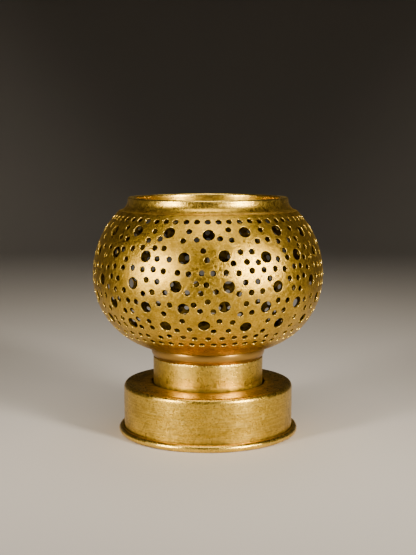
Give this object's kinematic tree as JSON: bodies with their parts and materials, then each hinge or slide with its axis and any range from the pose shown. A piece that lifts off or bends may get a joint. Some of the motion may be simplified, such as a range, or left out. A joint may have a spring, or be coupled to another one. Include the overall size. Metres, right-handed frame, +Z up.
{
  "type": "pierced globe candle lantern",
  "caption": "Table lantern for one votive candle: a pierced brass globe with an open mouth, on a short neck in a collar that turns on a drum foot with a rolled bead.",
  "frame": {"origin": "middle of the underside, on the surface that the lantern stands on", "axes": "+Z up along the lantern's own axis, +X and +Y level; the lantern is round, so they may point anywhere"},
  "size_m": [0.1224, 0.1224, 0.126],
  "materials": {
    "aged_brass": "aged spun brass, satin, hand worn",
    "deep_brass": "darker unpolished brass, lightly oxidised",
    "polished_brass": "turned brass, polished by handling",
    "steel": "plain drawn steel",
    "fibre": "pressed red-brown fibre washer"
  },
  "bodies": {
    "base": {"base_drum": "aged_brass", "base_plate": "deep_brass", "bead_wire": "steel", "seat_pan": "deep_brass", "swivel_screw": "steel", "swivel_nut": "steel", "swivel_bush": "polished_brass", "slip_washer": "fibre", "head_washer": "steel"},
    "collar": {"collar_tube": "aged_brass", "collar_floor": "deep_brass"},
    "cup": {"drip_pan": "aged_brass", "candle_socket": "aged_brass"},
    "globe": {"neck_ring": "deep_brass", "globe_lower": "aged_brass", "globe_upper": "aged_brass", "mouth_ring": "polished_brass"}
  },
  "joints": [
    {"name": "collar_turn", "type": "hinge", "parent": "base", "child": "collar", "pos_m": [0, 0, 0.0215], "axis": [0, 0, 1], "continuous": true},
    {"name": "globe_lift", "type": "slide", "parent": "collar", "child": "globe", "axis": [0, 0, 1], "range_m": [0, 0.1]},
    {"name": "cup_lift", "type": "slide", "parent": "collar", "child": "cup", "axis": [0, 0, 1], "range_m": [0, 0.13]}
  ]
}
